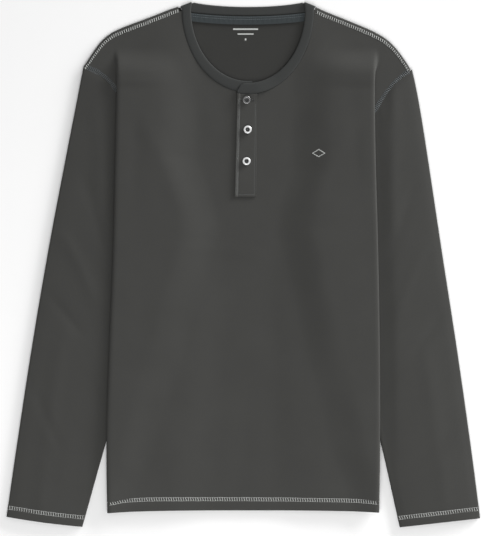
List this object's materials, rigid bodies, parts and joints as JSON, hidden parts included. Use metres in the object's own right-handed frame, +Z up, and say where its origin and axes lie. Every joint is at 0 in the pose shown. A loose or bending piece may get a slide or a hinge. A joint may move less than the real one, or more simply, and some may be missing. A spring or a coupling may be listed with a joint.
{
  "type": "henley shirt",
  "caption": "Long-sleeved henley shirt laid flat, sides tucked under, with a round neckband, a buttoned placket and topstitched hems.",
  "frame": {"origin": "on the surface the shirt lies on, under the middle of its outline", "axes": "+Z up out of the surface, +Y towards the neck, +X to the viewer's right when seen from above with the neck up"},
  "size_m": [0.6816, 0.756, 0.0113],
  "materials": {
    "jersey": "fine single jersey, dark grey green, matt with a faint worn mottling",
    "tape": "narrow twill tape, blue grey",
    "thread": "pale grey polyester sewing thread, slightly glossy",
    "button": "silver grey moulded button, polished rim, dark dished centre"
  },
  "bodies": {
    "root": {"back_panel": "jersey", "front_panel": "jersey", "sleeve_left": "jersey", "sleeve_right": "jersey", "neckband": "jersey", "neck_tape": "tape", "placket_under": "jersey", "placket_upper": "jersey", "button_top": "button", "button_middle": "button", "button_bottom": "button"}
  },
  "joints": []
}
